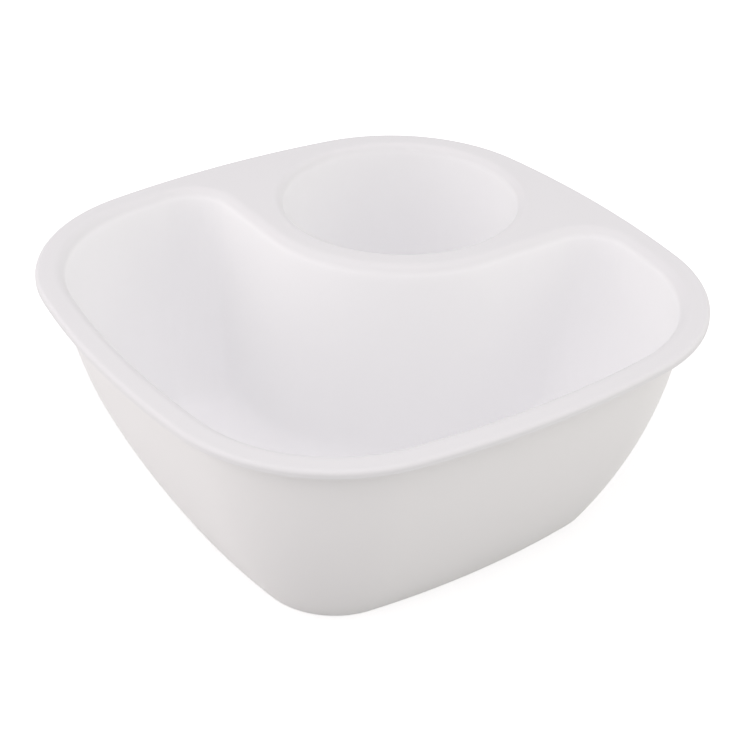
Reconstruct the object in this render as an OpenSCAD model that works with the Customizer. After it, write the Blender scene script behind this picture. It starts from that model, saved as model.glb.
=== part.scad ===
// Chip and dip server: a double-walled square bowl.
// The outer bowl is the visible outside and the foot. The serving liner drops
// into it and is everything seen from above: rim, deck, divider, chip pocket
// and dip well, moulded as one skin of even thickness.
// Origin: centre of the foot, on the table. The dip well is in the +X +Y corner.

/* [Overall] */
// Width across the rim, side to side
rim_w = 266; // [240:1:300]
// Height from the table to the top of the rim
height = 108; // [100:1:125]
// Radius of the gently bulged sides, seen from above
side_r = 440; // [380:5:800]
// Radius of the four corners at the rim, seen from above
corner_r = 80; // [72:1:90]

/* [Outer bowl] */
// Width of the foot, side to side
foot_w = 177; // [165:1:190]
// How far the wall swells out from a straight line between foot and rim
wall_bulge = 7.1; // [0:0.1:12]
// Wall thickness of the outer bowl
bowl_wall = 1.5; // [1.2:0.1:2.5]
// Thickness of the outer bowl's base
base_t = 2; // [1.5:0.1:4]
// Depth of the recess inside the foot ring
foot_recess = 2; // [1:0.1:4]
// Width of the foot ring that stands on the table
foot_ring_w = 4; // [2.5:0.1:8]
// Rounding between the base and the wall, inside the outer bowl
base_round = 6; // [3:0.5:10]

/* [Rim] */
// How far the rim stands out past the outer bowl's wall
rim_overhang = 9.9; // [6:0.1:16]
// Thickness of the deck and of the rim over the outer bowl's edge
deck_t = 2.8; // [2.4:0.1:3.4]
// Thickness of the rim over the channel behind its lip
rim_t = 1.5; // [1.2:0.1:2]
// Height of the turned-down lip, from the top of the rim
lip_h = 3.4; // [3.4:0.1:8]
// Thickness of the lip
lip_t = 1.6; // [1.2:0.1:2]
// Rounding of the rim's outer top edge
rim_round = 2; // [1:0.1:2.5]
// Height of the rib that hides the outer bowl's edge under the rim
rib_h = 0.6; // [0.3:0.1:1.2]
// Thickness of that rib
rib_t = 1.5; // [1:0.1:2.5]

/* [Chip pocket] */
// Wall thickness of the serving liner
liner_wall = 1.5; // [1.2:0.1:2]
// Rounding of the pocket's top edge, along the rim and the divider's crest
pocket_edge_r = 5; // [3.5:0.1:6]
// Rounding where the liner's walls meet the underside of the deck
root_r = 1; // [0.7:0.1:1.4]
// Rounding between the pocket's floor and its walls
floor_r = 17; // [8:0.5:17.5]
// Upright rounding where the divider runs into the pocket's wall
valley_r = 20; // [17:0.5:26]

/* [Divider] */
// Flat land between the dip well's edge and the divider's crest
crest_land = 6.6; // [3:0.1:12]
// Lean of the divider's face, in degrees from upright
draft = 9; // [1:0.5:10]

/* [Dip well] */
// Radius of the dip well's wall at the top
well_r = 56.7; // [45:0.1:58]
// Rounding of the dip well's top edge
well_edge_r = 4.2; // [3:0.1:6]
// Depth of the dip well below the rim
well_depth = 80; // [60:1:90]
// Rounding between the dip well's floor and its wall
well_floor_r = 22; // [10:0.5:26]

/* [Fit] */
// Clearance between the outer bowl and the liner that drops into it
fit_gap = 0.3; // [0.2:0.05:0.6]

/* [Hidden] */

// Flat steps along each stretch of an outline.
n_side = 6;
n_corner = 10;
n_part = 2;
n_valley = 3;
n_line = 3;
n_back = n_valley + n_line;
n_front = 2 * n_valley + 2 * n_part + 3 * n_corner + 2 * n_side;
n_rear = 2 * n_back + n_corner;
n_ring = n_front + n_rear;
n_well = n_rear + n_rear + 2;
n_bowl = 4 * (n_side + n_corner);
// Flat steps down each wall, and round each edge and floor.
n_wall = 9;
n_edge = 4;
n_floor = 5;

// The outline: four side arcs and four corner arcs, tangent where they meet.
half_w = rim_w / 2;
side_c = half_w - side_r;
corner_c = (side_c + sqrt(2 * pow(side_r - corner_r, 2) - side_c * side_c)) / 2;
blend = atan2(corner_c, corner_c - side_c);
corner_reach = corner_c * sqrt(2) + corner_r;

// Heights: the outer bowl's top edge, its base inside, the pocket's floor.
seat_z = height - deck_t;
base_z = foot_recess + base_t;
pocket_z = base_z + fit_gap + liner_wall;

// The outer bowl's wall runs in from the rim to the foot, and the liner inside it.
foot_inset = (rim_w - foot_w) / 2;
wall_run = foot_inset - rim_overhang;
liner_inset = bowl_wall + fit_gap + liner_wall;
edge_chamfer = root_r - fit_gap;
lip_round = lip_t / 4;

// The dip well nests in the corner, against the outer bowl's wall.
well_c = (corner_reach - rim_overhang - liner_inset - well_r) / sqrt(2);
divider_r = well_r + well_edge_r + crest_land + pocket_edge_r;

// Inset of the outer bowl's wall at height z, and its lean from upright.
function wall_inset(z) =
    let (s = z / seat_z) foot_inset - wall_run * s - 4 * wall_bulge * s * (1 - s);
function wall_lean(z) =
    atan((wall_run + 4 * wall_bulge * (1 - 2 * z / seat_z)) / seat_z);

// How far a rounded edge has opened at height z.
function edge_open(z, top, r) = z > top - r ? r - sqrt(max(0, r * r - pow(z - top + r, 2))) : 0;

// Height where a wall of this lean meets the rounding of its floor, and how far
// the rounding has closed in from there at height z.
function floor_start(floor, r, lean) = floor + r * (1 - sin(lean));
function floor_close(z, floor, r, lean) =
    z < floor_start(floor, r, lean)
        ? r * cos(lean) - sqrt(max(0, r * r - pow(floor + r - z, 2)))
        : 0;

// Inset of a bowl-shaped wall that ends in a rounded floor.
function bowl_inset(z, floor, r) =
    let (lean = wall_lean(floor + r / 2))
    wall_inset(max(z, floor_start(floor, r, lean))) + floor_close(z, floor, r, lean);

// Heights of a hollow's rings, from its top edge down to its floor.
function hollow_heights(top, edge, floor, r) = concat(
    [for (i = [0:n_edge - 1]) top - edge * (1 - cos(90 * i / n_edge))],
    [for (i = [0:n_wall - 1]) top - edge - (top - edge - floor - r) * i / n_wall],
    [for (i = [0:n_floor]) floor + r * (1 - sin(90 * i / n_floor))]
);

// Points along an arc or a line, without the last one.
function arc(cx, cy, r, from, to, n) =
    [for (i = [0:n - 1]) let (a = from + (to - from) * i / n) [cx + r * cos(a), cy + r * sin(a)]];
function line(from, to, n) = [for (i = [0:n - 1]) from + (to - from) * i / n];
function at_height(points, z) = [for (q = points) [q.x, q.y, z]];

// The plain outline, set in by d.
function bowl_ring(d) = [
    for (k = [0:3], q = concat(
        arc(side_c, 0, side_r - d, -blend, blend, n_side),
        arc(corner_c, corner_c, corner_r - d, blend, 90 - blend, n_corner)
    )) [q.x * cos(90 * k) - q.y * sin(90 * k), q.x * sin(90 * k) + q.y * cos(90 * k)]
];

// The stretch round the pocket's side of the outline, from angle t on one side
// arc to its mirror image on the other.
function front_arcs(d, t) = concat(
    arc(0, side_c, side_r - d, t, 90 + blend, n_part),
    arc(-corner_c, corner_c, corner_r - d, 90 + blend, 180 - blend, n_corner),
    arc(-side_c, 0, side_r - d, 180 - blend, 180 + blend, n_side),
    arc(-corner_c, -corner_c, corner_r - d, 180 + blend, 270 - blend, n_corner),
    arc(0, -side_c, side_r - d, 270 - blend, 270 + blend, n_side),
    arc(corner_c, -corner_c, corner_r - d, 270 + blend, 360 - blend, n_corner),
    arc(side_c, 0, side_r - d, -blend, 90 - t, n_part)
);

// Centre of the valley rounding, which touches the side arc and the divider's
// straight face, and the angle at which it touches the side arc.
function valley(d, r, v) =
    let (x = well_c - r - v) [x, side_c + sqrt(pow(side_r - d - v, 2) - x * x)];
function valley_end(d, r, v) = let (q = valley(d, r, v)) atan2(q.y - side_c, q.x);

// The pocket's outline: outer wall set in by d, divider face r from the dip
// well's centre, valley roundings of radius v. It starts halfway round a valley.
function pocket_ring(d, r, v) =
    let (q = valley(d, r, v), t = valley_end(d, r, v), face = well_c - r)
    concat(
        arc(q.x, q.y, v, t / 2, t, n_valley),
        front_arcs(d, t),
        arc(q.y, q.x, v, 90 - t, 90 - t / 2, n_valley),
        arc(q.y, q.x, v, 90 - t / 2, 90, n_valley),
        line([q.y, face], [well_c, face], n_line),
        arc(well_c, well_c, r, 270, 180, n_corner),
        line([face, well_c], [face, q.y], n_line),
        arc(q.x, q.y, v, 0, t / 2, n_valley)
    );

// The divider's face leans by draft, or by less where its valley roundings would
// run out of the side arcs at the bottom.
lean_depth = height - pocket_z - floor_r / 2;
low_inset = bowl_inset(height - lean_depth, pocket_z, floor_r) + liner_inset;
lean_room =
    (side_r - low_inset - valley_r) * sin(blend) + well_c - divider_r - valley_r;
face_lean = max(1, min(draft, atan(lean_room / lean_depth)));

// Rings of the pocket at depth t in the wall: 0 for the skin that is seen and
// liner_wall for the one behind it. Both start at the deck's skin of that side.
function pocket_rings(t, top, edge) =
    let (floor = pocket_z - t, r = floor_r + t, start = floor_start(floor, r, face_lean))
    [
        for (z = hollow_heights(top, edge, floor, r))
        let (
            open = edge_open(z, top, edge),
            d = bowl_inset(z, floor, r) + liner_inset - t - open,
            move = floor_close(z, floor, r, face_lean) - open,
            face = divider_r - t + (height - max(z, start)) * tan(face_lean) + move
        )
        at_height(pocket_ring(d, face, valley_r + t - move), z)
    ];

// The rim's outline, with its points opposite those of the pocket's top edge.
edge_inset = rim_overhang + liner_inset - pocket_edge_r;
edge_face = divider_r - pocket_edge_r;
valley_top = valley_r + pocket_edge_r;
valley_at = valley(edge_inset, edge_face, valley_top);
valley_turn = valley_end(edge_inset, edge_face, valley_top);
valley_mid = valley_at + valley_top * [cos(valley_turn / 2), sin(valley_turn / 2)];
rim_turn = atan2(valley_mid.y - side_c, valley_mid.x);
function rim_ring(d) = concat(
    arc(0, side_c, side_r - d, rim_turn, valley_turn, n_valley),
    front_arcs(d, valley_turn),
    arc(side_c, 0, side_r - d, 90 - valley_turn, 90 - rim_turn, n_valley),
    arc(side_c, 0, side_r - d, 90 - rim_turn, blend, n_back),
    arc(corner_c, corner_c, corner_r - d, blend, 90 - blend, n_corner),
    arc(0, side_c, side_r - d, 90 - blend, rim_turn, n_back)
);

// Section of the rim: down the rib that hides the outer bowl's edge, along the
// channel, round the lip and up to the top.
rim_section = concat(
    [
        [rim_overhang - fit_gap, seat_z],
        [rim_overhang - fit_gap, seat_z - rib_h],
        [rim_overhang - fit_gap - rib_t, seat_z - rib_h],
        [rim_overhang - fit_gap - rib_t, height - rim_t],
        [lip_t, height - rim_t],
        [lip_t, height - lip_h],
        [lip_round, height - lip_h],
        [0, height - lip_h + lip_round]
    ],
    [
        for (i = [0:n_edge])
        let (a = 90 * i / n_edge)
        [rim_round * (1 - cos(a)), height - rim_round * (1 - sin(a))]
    ]
);

// The deck round the dip well: the rim's points behind the divider, then the
// divider's, as places in the two rings.
deck_rim = [for (i = [n_front:n_ring]) i % n_ring];
deck_divider = [for (i = [n_ring:-1:n_front]) i % n_ring];
rim_top = rim_ring(rim_round);
pocket_top = pocket_ring(edge_inset, edge_face, valley_top);
deck = concat([for (i = deck_rim) rim_top[i]], [for (i = deck_divider) pocket_top[i]]);
well_turn = [for (q = deck) atan2(q.y - well_c, q.x - well_c)];

// Rings of the dip well in the same way. Its wall runs parallel to the outer
// bowl's corner.
function well_rings(t, top, edge) =
    let (floor = height - well_depth - t, r = well_floor_r + t)
    [
        for (z = hollow_heights(top, edge, floor, r))
        let (w = well_r + t + rim_overhang - bowl_inset(z, floor, r) + edge_open(z, top, edge))
        [for (a = well_turn) [well_c + w * cos(a), well_c + w * sin(a), z]]
    ];

// Faces: a strip between two rings of n points, strips down a stack of rings,
// a fan over the last ring, and a strip between two open rows of points.
function strip(a, b, n) = [
    for (i = [0:n - 1])
    let (j = (i + 1) % n)
    each [[a + i, b + j, a + j], [a + i, b + i, b + j]]
];
function strips(first, n, count) =
    [for (k = [0:count - 2]) each strip(first + k * n, first + (k + 1) * n, n)];
function fan(ring, n, centre) = [for (i = [0:n - 1]) [ring + i, centre, ring + (i + 1) % n]];
function row_strip(a, b) = [
    for (i = [0:len(a) - 2])
    each [[a[i], b[i + 1], a[i + 1]], [a[i], b[i], b[i + 1]]]
];
function turned(faces) = [for (f = faces) [f[0], f[2], f[1]]];
function flat(rings) = [for (ring = rings) each ring];

// One skin of the liner: the flat round the hollows, then both hollows.
n_hollow = n_edge + n_wall + n_floor + 1;
function skin_faces(rim, pocket, well, pocket_centre, well_centre) = concat(
    row_strip([for (i = [0:n_front]) rim + i], [for (i = [0:n_front]) pocket + i]),
    row_strip(
        concat([for (i = deck_rim) rim + i], [for (i = deck_divider) pocket + i], [rim + n_front]),
        concat([for (i = [0:n_well - 1]) well + i], [well])
    ),
    strips(pocket, n_ring, n_hollow),
    fan(pocket + (n_hollow - 1) * n_ring, n_ring, pocket_centre),
    strips(well, n_well, n_hollow),
    fan(well + (n_hollow - 1) * n_well, n_well, well_centre)
);

// A point of the pocket's floor from which all of the floor's edge is in sight.
function floor_point(rings) =
    let (
        edge = rings[n_hollow - 1],
        corner = edge[n_valley + n_part + n_corner + n_side + n_corner / 2],
        face = edge[n_ring - n_valley - n_line]
    )
    [(corner.x + face.x) / 2, (corner.y + face.x) / 2, edge[0].z];

module outer_bowl() {
    inner = concat(
        [[rim_overhang + bowl_wall - edge_chamfer, seat_z]],
        [
            for (z = hollow_heights(seat_z, edge_chamfer, base_z, base_round))
            if (z <= seat_z - edge_chamfer)
            [bowl_inset(z, base_z, base_round) + bowl_wall, z]
        ]
    );
    section = concat(
        [
            [foot_inset + foot_ring_w, foot_recess],
            [foot_inset + foot_ring_w, 0]
        ],
        [for (i = [0:n_wall + 2]) let (z = seat_z * i / (n_wall + 2)) [wall_inset(z), z]],
        inner
    );
    rings = [for (q = section) at_height(bowl_ring(q.x), q.y)];
    count = len(rings);
    color("whitesmoke")
    polyhedron(
        points = concat(flat(rings), [[0, 0, foot_recess], [0, 0, base_z]]),
        faces = concat(
            turned(fan(0, n_bowl, count * n_bowl)),
            strips(0, n_bowl, count),
            fan((count - 1) * n_bowl, n_bowl, count * n_bowl + 1)
        )
    );
}

module serving_liner() {
    rim = [for (q = rim_section) at_height(rim_ring(q.x), q.y)];
    pocket = pocket_rings(0, height, pocket_edge_r);
    pocket_under = pocket_rings(liner_wall, seat_z, root_r);
    well = well_rings(0, height, well_edge_r);
    well_under = well_rings(liner_wall, seat_z, root_r);
    at_pocket = len(rim) * n_ring;
    at_pocket_under = at_pocket + n_hollow * n_ring;
    at_well = at_pocket_under + n_hollow * n_ring;
    at_well_under = at_well + n_hollow * n_well;
    at_centres = at_well_under + n_hollow * n_well;
    well_z = height - well_depth;
    color("whitesmoke")
    polyhedron(
        points = concat(
            flat(rim), flat(pocket), flat(pocket_under), flat(well), flat(well_under),
            [
                floor_point(pocket),
                floor_point(pocket_under),
                [well_c, well_c, well_z],
                [well_c, well_c, well_z - liner_wall]
            ]
        ),
        faces = concat(
            strips(0, n_ring, len(rim)),
            skin_faces(at_pocket - n_ring, at_pocket, at_well, at_centres, at_centres + 2),
            turned(skin_faces(0, at_pocket_under, at_well_under, at_centres + 1, at_centres + 3))
        )
    );
}

outer_bowl();
serving_liner();
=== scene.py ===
# %% [markdown]
# # A chip and dip server in white moulded plastic
#
# The server is a square bowl with a deep pocket for chips and a round well for
# dip. The real one is two mouldings: an outer bowl, which is the outside and the
# foot, and a serving liner, which is everything seen from above.
#
# A finished CAD model gives the exact place and size of both, in metres. Its
# solids have flat facets, which is right for measuring and for motion checks but
# not for a smooth, glossy surface. So this lesson makes each moulding again as a
# fine mesh in the same place, and then gives it a finish, a camera and light.

# %% Load the CAD frame
import math

import bmesh
import bpy
from mathutils import Matrix, Vector


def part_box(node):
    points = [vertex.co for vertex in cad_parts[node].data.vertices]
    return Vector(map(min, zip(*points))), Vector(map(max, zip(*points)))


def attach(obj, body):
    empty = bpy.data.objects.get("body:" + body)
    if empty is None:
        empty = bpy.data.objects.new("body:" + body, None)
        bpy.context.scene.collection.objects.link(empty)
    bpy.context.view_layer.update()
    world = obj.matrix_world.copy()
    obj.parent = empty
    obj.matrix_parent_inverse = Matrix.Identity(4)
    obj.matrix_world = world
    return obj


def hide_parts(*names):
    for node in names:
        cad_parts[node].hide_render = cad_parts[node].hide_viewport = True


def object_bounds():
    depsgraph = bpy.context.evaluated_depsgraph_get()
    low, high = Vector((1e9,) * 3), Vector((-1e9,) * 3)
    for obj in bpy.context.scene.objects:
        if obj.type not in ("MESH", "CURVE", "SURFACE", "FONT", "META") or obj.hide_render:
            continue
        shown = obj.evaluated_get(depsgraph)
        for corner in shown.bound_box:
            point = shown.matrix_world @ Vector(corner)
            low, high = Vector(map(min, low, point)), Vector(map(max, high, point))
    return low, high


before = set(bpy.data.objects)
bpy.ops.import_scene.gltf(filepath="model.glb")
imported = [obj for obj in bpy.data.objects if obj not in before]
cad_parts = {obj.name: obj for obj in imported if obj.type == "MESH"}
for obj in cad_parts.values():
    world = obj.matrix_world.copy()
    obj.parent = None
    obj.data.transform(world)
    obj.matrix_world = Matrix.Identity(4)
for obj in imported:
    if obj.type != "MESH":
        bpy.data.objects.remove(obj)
cad_low, cad_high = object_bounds()
print("CAD nodes:", sorted(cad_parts))
print("CAD box in metres:", [round(v, 5) for v in (*cad_low, *cad_high)])

# %% [markdown]
# ## The sizes that the shapes share
#
# Two pieces that nest have to agree, so each size is written once and both
# mouldings read it. The width, the height and the level where the outer bowl
# meets the rim come from the CAD boxes. The rest are lengths in millimetres,
# turned to metres as they are written, because Blender works in metres.

# %% Sizes from the frame and the mould
MM = 0.001

half_width = min(-cad_low.x, -cad_low.y, cad_high.x, cad_high.y)
rim_top = cad_high.z
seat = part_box("outer_bowl")[1].z

side_radius, corner_radius = 440 * MM, 80 * MM
foot_inset = 44.5 * MM
wall_bulge = 7.1 * MM
bowl_wall, liner_wall, fit_gap = 1.5 * MM, 1.5 * MM, 0.3 * MM
rim_overhang = 9.9 * MM
print("half width, rim and seat in mm:", [round(v / MM, 2) for v in (half_width, rim_top, seat)])

# %% [markdown]
# ## The outline seen from above
#
# Each side of the bowl bulges a little, and each corner is round. That is eight
# arcs, each tangent to the next. Four plain straight sides would look stiff, and
# a squircle formula would give no real radius to measure, so arcs are used, as a
# toolmaker would draw them.
#
# Because arcs stay arcs when they are set inwards, every level of the bowl is
# the same outline with smaller radii.

# %% Centres of the arcs
side_centre = half_width - side_radius
centre_gap = side_radius - corner_radius
corner_centre = (side_centre + math.sqrt(2 * centre_gap**2 - side_centre**2)) / 2
blend = math.atan2(corner_centre, corner_centre - side_centre)
corner_reach = corner_centre * math.sqrt(2) + corner_radius
quarter = math.pi / 2


def arc(x, y, radius, start, end, steps):
    """Points along an arc, without its last one."""
    turns = [start + (end - start) * i / steps for i in range(steps)]
    return [(x + radius * math.cos(a), y + radius * math.sin(a)) for a in turns]


def line(start, end, steps):
    """Points along a straight line, without its last one."""
    run, rise = end[0] - start[0], end[1] - start[1]
    return [(start[0] + run * i / steps, start[1] + rise * i / steps) for i in range(steps)]


print("each side arc spans", round(math.degrees(2 * blend), 2), "degrees")

# %% The plain outline
side_steps, corner_steps = 24, 40


def bowl_outline(inset):
    """The rounded square, set in from the rim's edge."""
    side = arc(side_centre, 0, side_radius - inset, -blend, blend, side_steps)
    middle, radius = corner_centre, corner_radius - inset
    corner = arc(middle, middle, radius, blend, quarter - blend, corner_steps)
    points = []
    for k in range(4):
        c, s = (1, 0, -1, 0)[k], (0, 1, 0, -1)[k]
        points += [(x * c - y * s, x * s + y * c) for x, y in side + corner]
    return points


print("points round the bowl:", len(bowl_outline(0)))

# %% [markdown]
# ## The wall from foot to rim
#
# Seen from the side the wall swells outwards, and leans more at the foot than at
# the rim. One curve gives its inset at any height. The liner hangs inside the
# bowl with an even gap, so it follows the same curve.
#
# A hollow ends in a rounded floor. The two helpers after the curve say where
# that rounding starts and how far it has closed in, and the last one puts the
# curve and the rounding together.

# %% The wall's curve and a rounded floor
wall_run = foot_inset - rim_overhang


def wall_inset(z):
    """How far the outside wall stands in from the rim's edge at a height."""
    s = z / seat
    return foot_inset - wall_run * s - 4 * wall_bulge * s * (1 - s)


def wall_lean(z):
    """The wall's lean from upright at a height."""
    return math.atan((wall_run + 4 * wall_bulge * (1 - 2 * z / seat)) / seat)


def floor_start(floor, radius, lean):
    """Height where a leaning wall meets the rounding of its floor."""
    return floor + radius * (1 - math.sin(lean))


def floor_close(z, floor, radius, lean):
    """How far that rounding has closed in at a height."""
    if z >= floor_start(floor, radius, lean):
        return 0.0
    return radius * math.cos(lean) - math.sqrt(max(0, radius**2 - (floor + radius - z) ** 2))


def hollow_inset(z, floor, radius):
    """Inset of a bowl-shaped wall that ends in a rounded floor."""
    lean = wall_lean(floor + radius / 2)
    wall_level = max(z, floor_start(floor, radius, lean))
    return wall_inset(wall_level) + floor_close(z, floor, radius, lean)


insets = [wall_inset(z) for z in (0, seat / 2, seat)]
print("inset at foot, middle and seat in mm:", [round(v / MM, 2) for v in insets])

# %% [markdown]
# ## Rings: how a moulded wall is drawn
#
# A wall whose outline changes with height can be lofted from a pile of separate
# loops, but a loft has to guess which point meets which. It is surer to start
# with one loop and extrude it again and again, laying each new loop on the next
# outline. The points keep their order, so the faces come out as neat quads.

# %% Helpers that start and extrude a ring
def lay(ring, outline, z):
    """Moves a ring's points onto an outline at a height."""
    for vert, (x, y) in zip(ring, outline):
        vert.co = (x, y, z)


def ring_edges(bm, ring):
    """The edges of a closed ring, in order."""
    return [bm.edges.get((a, b)) for a, b in zip(ring, ring[1:] + ring[:1])]


def first_ring(bm, outline, z):
    """A closed loop of edges on an outline."""
    ring = bmesh.ops.create_circle(bm, cap_ends=False, segments=len(outline), radius=1)["verts"]
    ring.sort(key=lambda v: math.atan2(v.co.y, v.co.x))
    lay(ring, outline, z)
    return ring


def next_ring(bm, ring, outline, z):
    """Extrudes a ring and lays the new one on the next outline."""
    made = bmesh.ops.extrude_edge_only(bm, edges=ring_edges(bm, ring))["geom"]
    fresh = {v for v in made if isinstance(v, bmesh.types.BMVert)}
    after = [next(e.other_vert(v) for e in v.link_edges if e.other_vert(v) in fresh) for v in ring]
    lay(after, outline, z)
    return after


def fill(bm, *rings):
    """Fills the flat between one ring and the rings inside it."""
    edges = [e for ring in rings for e in ring_edges(bm, ring)]
    return bmesh.ops.triangle_fill(bm, use_beauty=True, edges=edges)["geom"]


trial = bmesh.new()
next_ring(trial, first_ring(trial, bowl_outline(foot_inset), 0), bowl_outline(rim_overhang), seat)
print("a ring extruded once:", len(trial.verts), "points and", len(trial.faces), "faces")
trial.free()


# %% Helper that turns a finished shape into a piece
crease_degrees = 32
merge_distance = 0.001 * MM
litre = 0.001


def make_piece(bm, name):
    """Closes the mesh, points it outwards, marks its crisp edges and links it."""
    bmesh.ops.remove_doubles(bm, verts=bm.verts, dist=merge_distance)
    bmesh.ops.recalc_face_normals(bm, faces=bm.faces)
    if bm.calc_volume(signed=True) < 0:
        bmesh.ops.reverse_faces(bm, faces=bm.faces)
    for face in bm.faces:
        face.smooth = True
    for edge in bm.edges:
        edge.smooth = edge.calc_face_angle(0) < math.radians(crease_degrees)
    open_edges = sum(not e.is_manifold for e in bm.edges)
    mesh = bpy.data.meshes.new(name)
    bm.to_mesh(mesh)
    litres = bm.calc_volume() / litre
    triangles = sum(len(f.verts) - 2 for f in bm.faces)
    bm.free()
    piece = bpy.data.objects.new(name, mesh)
    bpy.context.scene.collection.objects.link(piece)
    print(f"{name}: {triangles} triangles, {open_edges} open edges")
    print(f"{name}: {litres:.4f} litres of plastic")
    return piece


print("edges that turn more than", crease_degrees, "degrees stay crisp")

# %% [markdown]
# ## Outer bowl
#
# The outer bowl is the outside that the hand holds. It stands on a narrow ring,
# with the base inside the ring raised so that it can't rock on a crumb. Its
# section is one closed walk: up the inside of the foot ring, under it, up the
# outside wall, over the thin top edge and down the inside to the base.
#
# It could be a plain surface with a Solidify modifier, but the foot ring and the
# cut-back top edge need their own shape, so the whole section is walked.

# %% Section of the outer bowl
foot_ring, foot_recess, base = 4 * MM, 2 * MM, 4 * MM
base_round, foot_edge, edge_chamfer = 6 * MM, 0.5 * MM, 0.7 * MM
recess_border = 0.6 * MM
outside_steps, inside_steps, base_steps = 40, 30, 8


def eased(start, end, corner, steps=4):
    """Points of a small rounding that runs from start to end round a corner."""
    out = []
    for i in range(steps + 1):
        t = i / steps
        shares = (1 - t) ** 2, 2 * t * (1 - t), t * t
        ways = zip(start, corner, end)
        out.append(tuple(sum(share * v for share, v in zip(shares, way)) for way in ways))
    return out


def outer_bowl_section():
    """Inset and height of each ring, from the recess under the base to its top."""
    inner_foot = foot_inset + foot_ring
    walk = [(inner_foot + recess_border, foot_recess), (inner_foot, foot_recess)]
    walk += eased((inner_foot, foot_edge), (inner_foot - foot_edge, 0), (inner_foot, 0))
    walk += eased((foot_inset + foot_edge, 0), (wall_inset(foot_edge), foot_edge), (foot_inset, 0))
    rise = seat - foot_edge
    heights = [foot_edge + rise * i / outside_steps for i in range(1, outside_steps + 1)]
    walk += [(wall_inset(z), z) for z in heights]
    walk.append((rim_overhang + bowl_wall - edge_chamfer, seat))
    top, bottom = seat - edge_chamfer, base + base_round
    inside = [top + (bottom - top) * i / inside_steps for i in range(inside_steps)]
    turns = [quarter * i / base_steps for i in range(base_steps + 1)]
    inside += [base + base_round * (1 - math.sin(a)) for a in turns]
    return walk + [(hollow_inset(z, base, base_round) + bowl_wall, z) for z in inside]


print("rings in the outer bowl's section:", len(outer_bowl_section()))

# %% Walk the section
bowl_mesh = bmesh.new()
section = outer_bowl_section()
ring = first_ring(bowl_mesh, bowl_outline(section[0][0]), section[0][1])
fill(bowl_mesh, ring)
for inset, z in section[1:]:
    ring = next_ring(bowl_mesh, ring, bowl_outline(inset), z)
fill(bowl_mesh, ring)
outer_bowl = make_piece(bowl_mesh, "outer_bowl_moulding")

# %% [markdown]
# ## Outline of the chip pocket
#
# The pocket is what is left of the square once the dip well and its wall are
# taken out of one corner. Its outline runs along the outside wall, turns into
# the divider through an upright rounding, follows the divider round the well,
# and turns back. The rounding touches both walls, so there is no crease where
# the divider meets the rim.
#
# The divider leans, so that the liner lets go of its mould. Lower down it stands
# further from the well, and the upright rounding moves along the side with it.

# %% Sizes of the pocket, the divider and the dip well
pocket_floor = base + fit_gap + liner_wall
pocket_edge, floor_round, valley_round, root_round = 5 * MM, 17 * MM, 20 * MM, 1 * MM
crest_land, draft = 6.6 * MM, math.radians(9)
well_radius, well_edge = 56.7 * MM, 4.2 * MM
well_depth, well_floor_round = 80 * MM, 22 * MM

liner_inset = bowl_wall + fit_gap + liner_wall
well_centre = (corner_reach - rim_overhang - liner_inset - well_radius) / math.sqrt(2)
divider_radius = well_radius + well_edge + crest_land + pocket_edge
print("dip well's centre and the divider's radius in mm:",
      [round(v / MM, 2) for v in (well_centre, divider_radius)])

# %% The stretch that the rim and the pocket share
part_steps, valley_steps, line_steps = 8, 8, 6


def front_arcs(inset, turn):
    """The outline round the pocket, from one valley to the other."""
    s, c = side_radius - inset, corner_radius - inset
    near, far = side_centre, corner_centre
    return (
        arc(0, near, s, turn, quarter + blend, part_steps)
        + arc(-far, far, c, quarter + blend, 2 * quarter - blend, corner_steps)
        + arc(-near, 0, s, 2 * quarter - blend, 2 * quarter + blend, side_steps)
        + arc(-far, -far, c, 2 * quarter + blend, 3 * quarter - blend, corner_steps)
        + arc(0, -near, s, 3 * quarter - blend, 3 * quarter + blend, side_steps)
        + arc(far, -far, c, 3 * quarter + blend, 4 * quarter - blend, corner_steps)
        + arc(near, 0, s, -blend, quarter - turn, part_steps)
    )


print("points of the shared stretch:", len(front_arcs(liner_inset, quarter)))


# %% The valley between the side and the divider
def valley(inset, face, radius):
    """Centre of the valley's rounding, and the angle where it meets the side."""
    x = well_centre - face - radius
    y = side_centre + math.sqrt((side_radius - inset - radius) ** 2 - x * x)
    return x, y, math.atan2(y - side_centre, x)


x, y, turn = valley(liner_inset, divider_radius, valley_round)
print("valley's centre in mm:", round(x / MM, 1), round(y / MM, 1))
print("it meets the side at", round(math.degrees(turn), 1), "degrees")


# %% The pocket's outline
def pocket_outline(inset, face, radius):
    """Wall set in by inset, divider a distance face from the well's centre."""
    x, y, turn = valley(inset, face, radius)
    straight = well_centre - face
    return (
        arc(x, y, radius, turn / 2, turn, valley_steps)
        + front_arcs(inset, turn)
        + arc(y, x, radius, quarter - turn, quarter - turn / 2, valley_steps)
        + arc(y, x, radius, quarter - turn / 2, quarter, valley_steps)
        + line((y, straight), (well_centre, straight), line_steps)
        + arc(well_centre, well_centre, face, 3 * quarter, 2 * quarter, corner_steps)
        + line((straight, well_centre), (straight, y), line_steps)
        + arc(x, y, radius, 0, turn / 2, valley_steps)
    )


print("points round the pocket:", len(pocket_outline(liner_inset, divider_radius, valley_round)))

# %% [markdown]
# ## The serving liner as two skins
#
# A moulded liner has nearly even thickness: one skin that is seen, and the same
# skin again a wall's thickness behind it. Solidify would make the second skin,
# but it would also thicken the rim evenly, and the real rim is hollow behind its
# lip. So each hollow is walked twice, once for each skin.
#
# At the top edge of a hollow the walk starts with a narrow flat ring. It holds
# the flat deck flat where the smooth shading runs over into the rounding.

# %% Heights and the top rounding of a hollow
hold = 0.5 * MM
edge_steps, wall_steps, floor_steps = 8, 24, 12


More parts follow.
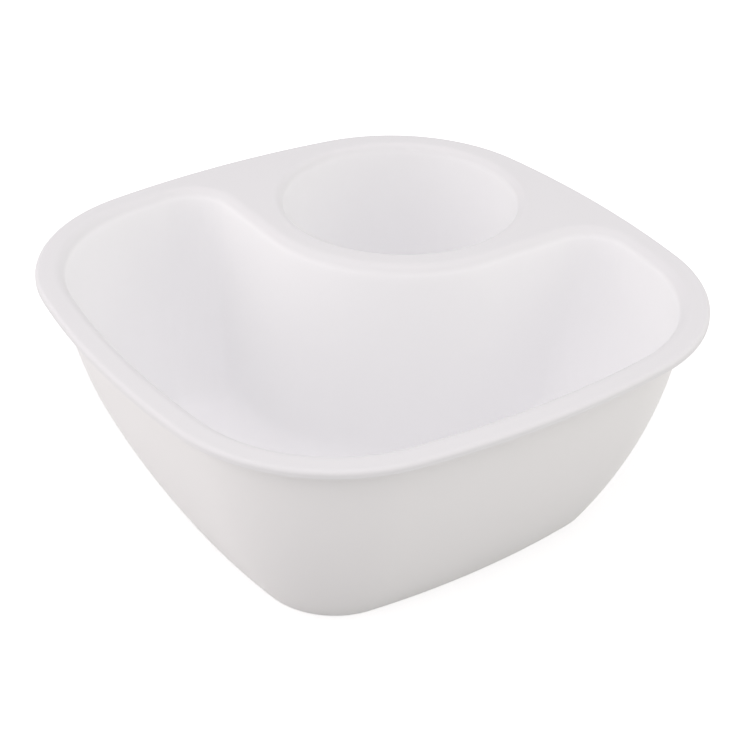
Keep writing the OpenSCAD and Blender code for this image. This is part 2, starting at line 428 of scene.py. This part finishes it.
def hollow_heights(top, edge, floor, radius):
    """Heights of a hollow's rings, from its top edge down to its floor."""
    edge_turns = [quarter * i / edge_steps for i in range(edge_steps)]
    floor_turns = [quarter * i / floor_steps for i in range(floor_steps + 1)]
    wall_top, wall_end = top - edge, floor + radius
    wall = [wall_top + (wall_end - wall_top) * i / wall_steps for i in range(wall_steps)]
    rounded = [top - edge * (1 - math.cos(a)) for a in edge_turns]
    return rounded + wall + [floor + radius * (1 - math.sin(a)) for a in floor_turns]


def edge_open(z, top, radius):
    """How far a rounded top edge has opened at a height."""
    if z <= top - radius:
        return 0.0
    return radius - math.sqrt(max(0, radius**2 - (z - top + radius) ** 2))


pocket_heights = hollow_heights(rim_top, pocket_edge, pocket_floor, floor_round)
print("rings down the pocket:", len(pocket_heights))


# %% Walk the chip pocket
def pocket_level(z, depth, top, edge, spread=0.0):
    """The pocket's outline at a height, at a depth in the liner's wall."""
    floor, radius = pocket_floor - depth, floor_round + depth
    opened = edge_open(z, top, edge) + spread
    moved = floor_close(z, floor, radius, draft) - opened
    level = max(z, floor_start(floor, radius, draft))
    inset = hollow_inset(z, floor, radius) + liner_inset - depth - opened
    face = divider_radius - depth + (rim_top - level) * math.tan(draft) + moved
    return pocket_outline(inset, face, valley_round + depth - moved)


def walk_pocket(bm, depth, top, edge):
    """Extrudes one skin of the pocket and returns its top ring."""
    floor, radius = pocket_floor - depth, floor_round + depth
    start = ring = first_ring(bm, pocket_level(top, depth, top, edge, hold), top)
    for z in hollow_heights(top, edge, floor, radius):
        ring = next_ring(bm, ring, pocket_level(z, depth, top, edge), z)
    fill(bm, next_ring(bm, ring, pocket_level(floor, depth, top, edge, -hold), floor))
    return start


lean_run = (rim_top - floor_start(pocket_floor, floor_round, draft)) * math.tan(draft)
print("on its way down the divider leans out by", round(lean_run / MM, 1), "mm")

# %% [markdown]
# ## Dip well
#
# The well is round, so it is turned, like a pot on a wheel: its section is drawn
# once and spun about the well's own axis. Its wall leans as the outer bowl's
# corner does, which keeps the space between the two even.

# %% Spin the dip well
well_steps = 120


def walk_well(bm, depth, top, edge):
    """Spins one skin of the dip well and returns its top ring."""
    floor, radius = rim_top - well_depth - depth, well_floor_round + depth
    reach = well_radius + depth + rim_overhang
    heights = hollow_heights(top, edge, floor, radius)
    opened = [edge_open(z, top, edge) for z in heights]
    section = [(reach - hollow_inset(z, floor, radius) + o, z) for z, o in zip(heights, opened)]
    section = [(section[0][0] + hold, top)] + section + [(section[-1][0] - hold, floor)]
    axis = Vector((well_centre, well_centre, 0))
    verts = [bm.verts.new(axis + Vector((r, 0, z))) for r, z in section]
    edges = [bm.edges.new(pair) for pair in zip(verts, verts[1:])]
    bmesh.ops.spin(
        bm, geom=verts + edges, cent=axis, axis=(0, 0, 1), angle=4 * quarter,
        steps=well_steps, use_merge=True,
    )
    return ring_from(bm, verts[0]), ring_from(bm, verts[-1])


def ring_from(bm, vert):
    """Follows the open edges from a point round its ring."""
    ring, before = [vert], None
    while True:
        here = ring[-1]
        turns = [e.other_vert(here) for e in here.link_edges if e.is_boundary]
        after = next(v for v in turns if v is not before)
        if after is vert:
            return ring
        ring.append(after)
        before = here


well_lean = wall_lean(rim_top - well_depth + well_floor_round / 2)
print("low down the dip well's wall leans", round(math.degrees(well_lean), 1), "degrees")

# %% [markdown]
# ## Rim
#
# The rim is a flat border with a short lip turned down at its outside, so that
# fingers can lift the server. Behind the lip it is hollow, and a low rib next to
# the wall hides the outer bowl's edge. The section is walked from the rib, along
# the channel, round the lip and up over the rounded edge to the top.

# %% Section of the rim
rim_wall, lip_height, lip_wall = 1.5 * MM, 3.4 * MM, 1.6 * MM
rim_round, rib_height, rib_wall, lip_round = 2 * MM, 0.6 * MM, 1.5 * MM, 0.4 * MM
channel_round, rib_root = 0.7 * MM, 1 * MM
rim_round_steps = 10


def rim_section():
    """Inset and height of each ring of the rim."""
    rib = rim_overhang - fit_gap
    lip, roof, rib_back = rim_top - lip_height, rim_top - rim_wall, rib - rib_wall
    walk = [(rib, seat), (rib, seat - rib_height), (rib_back, seat - rib_height)]
    walk += eased((rib_back, roof - rib_root), (rib_back - channel_round, roof), (rib_back, roof))
    walk += eased((lip_wall + channel_round, roof), (lip_wall, roof - channel_round), (lip_wall, roof))
    walk += eased((lip_wall, lip + lip_round), (lip_wall - lip_round, lip), (lip_wall, lip))
    walk += eased((lip_round, lip), (0, lip + lip_round), (0, lip))
    for turn in (quarter * i / rim_round_steps for i in range(rim_round_steps + 1)):
        in_by, down_by = rim_round * (1 - math.cos(turn)), rim_round * (1 - math.sin(turn))
        walk.append((in_by, rim_top - down_by))
    return walk + [(rim_round + hold, rim_top)]


print("rings in the rim's section:", len(rim_section()))

# %% [markdown]
# ## Serving liner, put together
#
# Now the parts of the liner are walked in one mesh. The flat deck joins the
# rim, the pocket and the well on top, and a second flat joins them underneath.
# After that the shell is closed all round, so its normals can be worked out.

# %% Put the serving liner together
liner_mesh = bmesh.new()
section = rim_section()
under_ring = ring = first_ring(liner_mesh, bowl_outline(section[0][0]), section[0][1])
for inset, z in section[1:]:
    ring = next_ring(liner_mesh, ring, bowl_outline(inset), z)

pocket_top = walk_pocket(liner_mesh, 0, rim_top, pocket_edge)
well_top, well_base = walk_well(liner_mesh, 0, rim_top, well_edge)
fill(liner_mesh, well_base)
fill(liner_mesh, ring, pocket_top, well_top)

pocket_back = walk_pocket(liner_mesh, liner_wall, seat, root_round)
well_back, well_under = walk_well(liner_mesh, liner_wall, seat, root_round)
fill(liner_mesh, well_under)
fill(liner_mesh, under_ring, pocket_back, well_back)
serving_liner = make_piece(liner_mesh, "serving_liner_moulding")

# %% [markdown]
# ## A finish that both mouldings use
#
# White moulded plastic looks plain, but it isn't one flat colour. The mould
# leaves a fine satin grain, the sheet cools a little unevenly, so a highlight
# wavers, and handling leaves faint dull patches. These go in a shader node group
# that reads Object coordinates, so they stay put when the piece moves.
#
# The rim, the deck and the crest get painted shade: their colour is darkened, so
# these upward-facing surfaces read a little darker than the hollows. The same band
# is made rougher too, so its highlights spread wider. So the group darkens and
# roughens whatever lies near the top.
#
# The group gives a colour, a roughness and a normal. The Principled shader stays
# in each material, because an exporter can't read it inside a group.

# %% Node group for the moulded surface
finish = bpy.data.node_groups.new("moulded_finish", "ShaderNodeTree")
for name, kind, value in (
    ("Base", "NodeSocketColor", (0.8, 0.8, 0.8, 1)),
    ("Shade", "NodeSocketColor", (0.78, 0.78, 0.78, 1)),
    ("Roughness", "NodeSocketFloat", 0.42),
    ("Handling", "NodeSocketFloat", 0.08),
    ("Grain", "NodeSocketFloat", 0.06),
    # The next input scales the colour near the top down, as painted shade.
    ("Painted Top Shade", "NodeSocketFloat", 1.0),
):
    finish.interface.new_socket(name, in_out="INPUT", socket_type=kind).default_value = value
for name, kind in (
    ("Colour", "NodeSocketColor"),
    ("Roughness", "NodeSocketFloat"),
    ("Normal", "NodeSocketVector"),
):
    finish.interface.new_socket(name, in_out="OUTPUT", socket_type=kind)
nodes, links = finish.nodes, finish.links
group_in, group_out = nodes.new("NodeGroupInput"), nodes.new("NodeGroupOutput")
place = nodes.new("ShaderNodeTexCoord")


def noise(scale, detail, roughness=0.5):
    """A noise texture on Object coordinates."""
    node = nodes.new("ShaderNodeTexNoise")
    node.inputs["Scale"].default_value = scale
    node.inputs["Detail"].default_value = detail
    node.inputs["Roughness"].default_value = roughness
    links.new(place.outputs["Object"], node.inputs["Vector"])
    return node.outputs["Fac"]


cloud = noise(scale=9, detail=2)
patches = noise(scale=34, detail=5, roughness=0.6)
grain = noise(scale=2600, detail=2)
wave = noise(scale=24, detail=1)
print("noise textures in the finish:", sum(n.type == "TEX_NOISE" for n in nodes))

# %% Colour of the finish
shade_and_rough_start, shade_and_rough_full = 4.5 * MM, 1.5 * MM

tone = nodes.new("ShaderNodeMix")
tone.data_type = "RGBA"
links.new(cloud, tone.inputs["Factor"])
links.new(group_in.outputs["Base"], tone.inputs["A"])
links.new(group_in.outputs["Shade"], tone.inputs["B"])

# Painted shade: close to the top the colour is scaled down, which darkens the rim, the deck and the
# crest. The same band also raises the roughness.
up_axis, painted_shade_and_rough = nodes.new("ShaderNodeSeparateXYZ"), nodes.new("ShaderNodeMapRange")
painted_shade_and_rough.interpolation_type = "SMOOTHSTEP"
painted_shade_and_rough.inputs["From Min"].default_value = rim_top - shade_and_rough_start
painted_shade_and_rough.inputs["From Max"].default_value = rim_top - shade_and_rough_full
painted_shade_and_rough.inputs["To Min"].default_value = 1
links.new(place.outputs["Object"], up_axis.inputs["Vector"])
links.new(up_axis.outputs["Z"], painted_shade_and_rough.inputs["Value"])
links.new(group_in.outputs["Painted Top Shade"], painted_shade_and_rough.inputs["To Max"])
painted_darkening = nodes.new("ShaderNodeVectorMath")
painted_darkening.operation = "SCALE"
links.new(tone.outputs["Result"], painted_darkening.inputs["Vector"])
links.new(painted_shade_and_rough.outputs["Result"], painted_darkening.inputs["Scale"])
links.new(painted_darkening.outputs["Vector"], group_out.inputs["Colour"])
# The painted shade and the extra roughness fade in over this height.
print("the textured face fades in over", round((shade_and_rough_start - shade_and_rough_full) / MM, 2), "mm")

# %% Roughness and normal of the finish
texture_gain = 1.5
waver_strength, waver_depth, grain_depth = 0.12, 0.4 * MM, 0.03 * MM

rougher = nodes.new("ShaderNodeMath")
rougher.operation = "MULTIPLY_ADD"
links.new(painted_shade_and_rough.outputs["Result"], rougher.inputs[0])
rougher.inputs[1].default_value = -texture_gain
rougher.inputs[2].default_value = texture_gain
base_rough = nodes.new("ShaderNodeMath")
links.new(group_in.outputs["Roughness"], base_rough.inputs[0])
links.new(rougher.outputs["Value"], base_rough.inputs[1])
dull = nodes.new("ShaderNodeMath")
dull.operation = "MULTIPLY_ADD"
links.new(patches, dull.inputs[0])
links.new(group_in.outputs["Handling"], dull.inputs[1])
links.new(base_rough.outputs["Value"], dull.inputs[2])
links.new(dull.outputs["Value"], group_out.inputs["Roughness"])

waver = nodes.new("ShaderNodeBump")
waver.inputs["Strength"].default_value = waver_strength
waver.inputs["Distance"].default_value = waver_depth
links.new(wave, waver.inputs["Height"])
satin = nodes.new("ShaderNodeBump")
satin.inputs["Distance"].default_value = grain_depth
links.new(group_in.outputs["Grain"], satin.inputs["Strength"])
links.new(grain, satin.inputs["Height"])
links.new(waver.outputs["Normal"], satin.inputs["Normal"])
links.new(satin.outputs["Normal"], group_out.inputs["Normal"])
print("nodes in the finish:", len(nodes))


# %% [markdown]
# ## Two whites
#
# The two mouldings are given slightly different whites, as painted light: the
# outside leans warm and is a touch darker, and the liner leans cool. They stand
# for the tint and level that the light gives the outside and the hollows.

# %% Make and assign the two plastics
shade_step = 0.015
satin_roughness, plastic_ior, gloss = 0.5, 1.49, 0.22


def moulded_plastic(name, white, handling, painted_top_shade):
    """A satin plastic with its own white, darkened near the top by painted shade."""
    material = bpy.data.materials.new(name)
    material.use_nodes = True
    tree = material.node_tree
    shader = tree.nodes["Principled BSDF"]
    surface = tree.nodes.new("ShaderNodeGroup")
    surface.node_tree = finish
    surface.inputs["Base"].default_value = (*white, 1)
    surface.inputs["Shade"].default_value = (*(part - shade_step for part in white), 1)
    surface.inputs["Roughness"].default_value = satin_roughness
    surface.inputs["Handling"].default_value = handling
    surface.inputs["Painted Top Shade"].default_value = painted_top_shade
    tree.links.new(surface.outputs["Colour"], shader.inputs["Base Color"])
    tree.links.new(surface.outputs["Roughness"], shader.inputs["Roughness"])
    tree.links.new(surface.outputs["Normal"], shader.inputs["Normal"])
    shader.inputs["IOR"].default_value = plastic_ior
    shader.inputs["Specular IOR Level"].default_value = gloss
    print(name, "white:", white)
    return material


# Painted light: the outside's white is a touch darker and warmer, and the liner's cooler, set to the
# tint and level that light gives each.
warm_white = moulded_plastic(
    "outer_bowl_plastic", white=(0.923, 0.921, 0.914), handling=0.10, painted_top_shade=1
)
# The liner's top gets painted shade: its colour is scaled to 0.875 on the rim, the deck and the crest.
cool_white = moulded_plastic(
    "serving_liner_plastic", white=(0.93, 0.933, 0.938), handling=0.08, painted_top_shade=0.875
)
for piece, material, node, slot in (
    (outer_bowl, warm_white, "outer_bowl", "outer_plastic"),
    (serving_liner, cool_white, "serving_liner", "liner_plastic"),
):
    piece.data.materials.append(material)
    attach(piece, "root")
    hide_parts(node)

# %% [markdown]
# ## Floor
#
# A pale floor shows where the server stands. To the camera it is brightened
# until it reads as white, more so further out, where the lamps reach less. Close
# to the foot it still darkens where the server shades it. To the light that
# bounces on to the server it stays a plain pale floor.

# %% Make the floor
def seen_rays(tree):
    """One for rays that show the background: straight, mirrored or let through."""
    path = tree.nodes.new("ShaderNodeLightPath")
    seen = path.outputs["Is Camera Ray"]
    for name in ("Is Glossy Ray", "Is Transmission Ray"):
        larger = tree.nodes.new("ShaderNodeMath")
        larger.operation = "MAXIMUM"
        tree.links.new(seen, larger.inputs[0])
        tree.links.new(path.outputs[name], larger.inputs[1])
        seen = larger.outputs["Value"]
    return seen


floor_width, floor_white = 12, (0.6, 0.6, 0.6, 1)
glow_start, glow_full, near_glow, far_glow = 0.16, 0.5, 0.57, 1.0

bpy.ops.mesh.primitive_plane_add(size=floor_width, location=(0, 0, 0))
floor = bpy.context.object
floor.name = "floor"
floor_paint = bpy.data.materials.new("floor_paint")
floor_paint.use_nodes = True
tree = floor_paint.node_tree
tree.nodes.clear()
paint, glow = tree.nodes.new("ShaderNodeBsdfDiffuse"), tree.nodes.new("ShaderNodeEmission")
paint.inputs["Color"].default_value = floor_white
glow.inputs["Color"].default_value = (1, 1, 1, 1)
reach = tree.nodes.new("ShaderNodeVectorMath")
reach.operation = "LENGTH"
tree.links.new(tree.nodes.new("ShaderNodeTexCoord").outputs["Object"], reach.inputs[0])
spread = tree.nodes.new("ShaderNodeMapRange")
for name, value in (
    ("From Min", glow_start),
    ("From Max", glow_full),
    ("To Min", near_glow),
    ("To Max", far_glow),
):
    spread.inputs[name].default_value = value
tree.links.new(reach.outputs["Value"], spread.inputs["Value"])
bright = tree.nodes.new("ShaderNodeMath")
bright.operation = "MULTIPLY"
tree.links.new(seen_rays(tree), bright.inputs[0])
tree.links.new(spread.outputs["Result"], bright.inputs[1])
tree.links.new(bright.outputs["Value"], glow.inputs["Strength"])
both = tree.nodes.new("ShaderNodeAddShader")
surface = tree.nodes.new("ShaderNodeOutputMaterial")
tree.links.new(paint.outputs["BSDF"], both.inputs[0])
tree.links.new(glow.outputs["Emission"], both.inputs[1])
tree.links.new(both.outputs["Shader"], surface.inputs["Surface"])
floor.data.materials.append(floor_paint)
print("floor is", floor.dimensions.x, "m wide")

# %% [markdown]
# ## Room light
#
# The world is a white backdrop to the camera and in reflections. As a light it
# gives about half of that, an even glow like the light that pale walls send
# back. It reaches down into the hollows, where the side lamps hardly do. A
# brighter glow would take the modelling out of a white object.

# %% Make the world
room_level, backdrop_level = 0.484, 1.0

world = bpy.data.worlds.new("studio")
bpy.context.scene.world = world
world.use_nodes = True
tree = world.node_tree
room = tree.nodes["Background"]
level = tree.nodes.new("ShaderNodeMix")
level.data_type = "FLOAT"
level.inputs["A"].default_value = room_level
level.inputs["B"].default_value = backdrop_level
room.inputs["Color"].default_value = (1, 1, 1, 1)
tree.links.new(seen_rays(tree), level.inputs["Factor"])
tree.links.new(level.outputs["Result"], room.inputs["Strength"])
print("the room's light is", room_level, "of the backdrop's level,", backdrop_level)

# %% [markdown]
# ## Soft lamps
#
# Large lamps close to a small object give light without hard shadows. One
# stands low on each side, where it reaches over the rim and on to the far walls
# inside, and one hangs almost overhead and lights the floors of the hollows.
# Just to the right of the front corner the wall faces neither side lamp
# squarely, and there the outside is darkest. The side lamps are a touch warm and
# the overhead one a touch rosy. Together with the liner's cooler painted white,
# this is why the hollows look cooler than the outside.


# %% Place the lamps
bowl_middle = Vector((0, 0, 0.05))
side_lamp_size, overhead_size = (2.2, 1.3), (2.2, 2.2)


def soft_lamp(name, place, size, watts, tint):
    """A large lamp, width by height, that looks at the middle of the server."""
    lamp = bpy.data.lights.new(name, "AREA")
    lamp.shape = "RECTANGLE"
    lamp.size, lamp.size_y = size
    lamp.energy, lamp.color = watts, tint
    holder = bpy.data.objects.new(name, lamp)
    holder.location = place
    aim = bowl_middle - Vector(place)
    holder.rotation_euler = aim.to_track_quat("-Z", "Y").to_euler()
    bpy.context.scene.collection.objects.link(holder)
    print(name, "at", place, "with", watts, "W")


soft_lamp("left_lamp", (-1.31, 0.46, 0.56), side_lamp_size, 11.0, (1, 0.936, 0.931))
soft_lamp("right_lamp", (0.90, -1.06, 0.56), side_lamp_size, 8.4, (1, 0.962, 0.911))
soft_lamp("overhead_lamp", (-0.18, -0.26, 1.47), overhead_size, 10.4, (1, 0.92, 0.985))

# %% [markdown]
# ## Camera
#
# The camera stands off one corner, opposite the dip well, and looks down into
# the pocket. A fairly long lens keeps the square from looking stretched. Its
# three axes are worked out from the direction it looks in, with the angles in
# radians, and the small roll is the tilt of a camera held by hand.

# %% Place the camera
azimuth, elevation, roll = 0.602, 0.572, 0.015
to_the_right, above, away = 0.004437, 0.046309, 0.799
sensor_width, focal_length = 36, 80.2

flat_way = Vector((math.sin(azimuth), math.cos(azimuth), 0))
forward = flat_way * math.cos(elevation) - Vector((0, 0, math.sin(elevation)))
level_right = Vector((math.cos(azimuth), -math.sin(azimuth), 0))
level_up = level_right.cross(forward)
right = level_right * math.cos(roll) + level_up * math.sin(roll)
up = level_up * math.cos(roll) - level_right * math.sin(roll)

lens = bpy.data.cameras.new("camera")
lens.sensor_width, lens.lens = sensor_width, focal_length
camera = bpy.data.objects.new("camera", lens)
stand = right * to_the_right + up * above - forward * away
turn = Matrix((right, up, -forward)).transposed().to_4x4()
camera.matrix_world = Matrix.Translation(stand) @ turn
bpy.context.scene.collection.objects.link(camera)
bpy.context.scene.camera = camera
bpy.context.scene.view_settings.view_transform = "Standard"
print("camera at", [round(v, 3) for v in stand])
